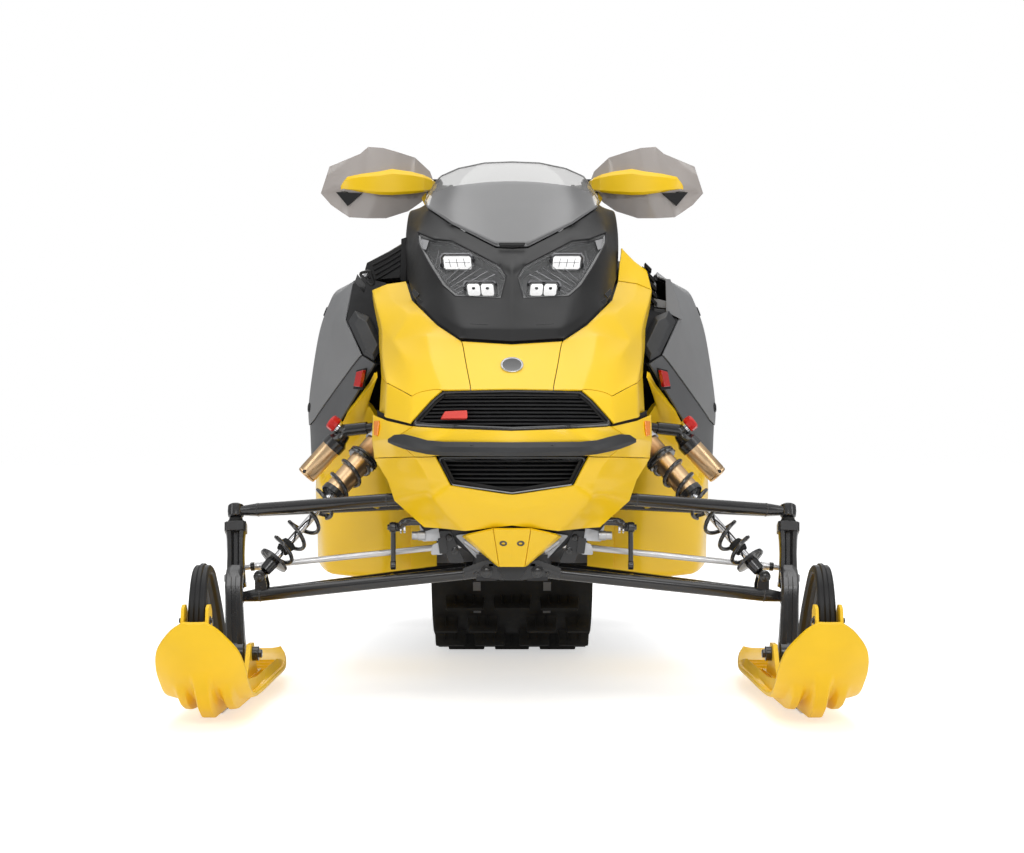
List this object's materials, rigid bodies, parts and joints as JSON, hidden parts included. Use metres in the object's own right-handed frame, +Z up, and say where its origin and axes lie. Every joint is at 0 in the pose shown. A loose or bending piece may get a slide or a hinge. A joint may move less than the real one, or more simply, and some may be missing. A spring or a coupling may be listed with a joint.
{
  "type": "snowmobile",
  "caption": "Trail snowmobile with faceted nose, wide front suspension, two steerable skis, rubber track under an alloy tunnel, seat, windshield and handguards.",
  "frame": {"origin": "on the floor under the middle of the overall length and width", "axes": "-Y forward towards the skis, +X the rider's left, +Z up"},
  "size_m": [1.24, 3, 1.188],
  "materials": {
    "yellow_plastic": "gloss",
    "black_plastic": "satin",
    "grey_plastic": "satin",
    "dark_grey_plastic": "satin",
    "clear_plastic": "gloss",
    "lamp": "gloss",
    "red_lamp": "gloss",
    "black_steel": "gloss",
    "aluminium": "satin",
    "black_alu": "satin",
    "engine_alu": "matte",
    "bronze_alu": "satin",
    "steel": "satin",
    "rubber": "matte",
    "vinyl": "matte"
  },
  "bodies": {
    "chassis": {"hood": "yellow_plastic", "nose_cowl": "yellow_plastic", "lower_fairings": "yellow_plastic", "headlight_surround": "black_plastic", "headlights": "lamp", "windshield": "clear_plastic", "grilles": "black_plastic", "front_bumper": "dark_grey_plastic", "side_panels": "grey_plastic", "side_vents": "black_plastic", "fuel_tank": "black_plastic", "dash_console": "black_plastic", "seat": "vinyl", "tail_light": "red_lamp", "rear_bumper": "black_steel", "snow_flap": "rubber", "tunnel": "aluminium", "tow_hitch": "black_steel", "running_boards": "black_alu", "front_bulkhead": "aluminium", "upper_frame": "black_alu", "engine": "engine_alu", "lower_arms": "black_steel", "upper_arms": "black_steel", "front_shocks": "bronze_alu", "front_springs": "black_steel", "sway_bar": "steel", "track": "rubber", "drive_axle": "steel", "slide_rails": "aluminium", "skid_arms": "black_steel", "skid_shocks": "bronze_alu", "idler_wheels": "black_plastic"},
    "steering": {"steering_column": "black_steel", "handlebar": "black_alu", "grips": "rubber", "hand_controls": "black_plastic", "handguards": "dark_grey_plastic"},
    "spindle_left": {"spindle_left": "black_alu"},
    "tie_rod_left": {"tie_rod_left": "steel"},
    "ski_left": {"ski_left": "yellow_plastic", "ski_runner_left": "steel", "ski_loop_left": "black_plastic"},
    "spindle_right": {"spindle_right": "black_alu"},
    "tie_rod_right": {"tie_rod_right": "steel"},
    "ski_right": {"ski_right": "yellow_plastic", "ski_runner_right": "steel", "ski_loop_right": "black_plastic"}
  },
  "joints": [
    {"name": "steering", "type": "hinge", "parent": "chassis", "child": "steering", "pos_m": [0, -0.895, 0.346], "axis": [0, 0.6297, 0.7768], "range_deg": [-34, 34]},
    {"name": "spindle_left", "type": "hinge", "parent": "chassis", "child": "spindle_left", "pos_m": [0.546, -0.939, 0.198], "axis": [0.0547, 0.3774, 0.9244], "range_deg": [-30, 30]},
    {"name": "tie_rod_left", "type": "hinge", "parent": "spindle_left", "child": "tie_rod_left", "pos_m": [0.556, -0.848, 0.251], "axis": [0.0547, 0.3774, 0.9244], "range_deg": [-36, 36]},
    {"name": "ski_pitch_left", "type": "hinge", "parent": "spindle_left", "child": "ski_left", "pos_m": [0.542, -0.985, 0.092], "axis": [1, 0, 0], "range_deg": [-18, 12], "stiffness_Nm_per_rad": 60},
    {"name": "spindle_right", "type": "hinge", "parent": "chassis", "child": "spindle_right", "pos_m": [-0.546, -0.939, 0.198], "axis": [-0.0547, 0.3774, 0.9244], "range_deg": [-30, 30]},
    {"name": "tie_rod_right", "type": "hinge", "parent": "spindle_right", "child": "tie_rod_right", "pos_m": [-0.556, -0.848, 0.251], "axis": [-0.0547, 0.3774, 0.9244], "range_deg": [-36, 36]},
    {"name": "ski_pitch_right", "type": "hinge", "parent": "spindle_right", "child": "ski_right", "pos_m": [-0.542, -0.985, 0.092], "axis": [1, 0, 0], "range_deg": [-18, 12], "stiffness_Nm_per_rad": 60}
  ],
  "couplings": [
    {"joint": "spindle_left", "follows": "steering", "ratio": 0.88},
    {"joint": "tie_rod_left", "follows": "steering", "ratio": -0.904},
    {"joint": "spindle_right", "follows": "steering", "ratio": 0.88},
    {"joint": "tie_rod_right", "follows": "steering", "ratio": -0.904}
  ]
}
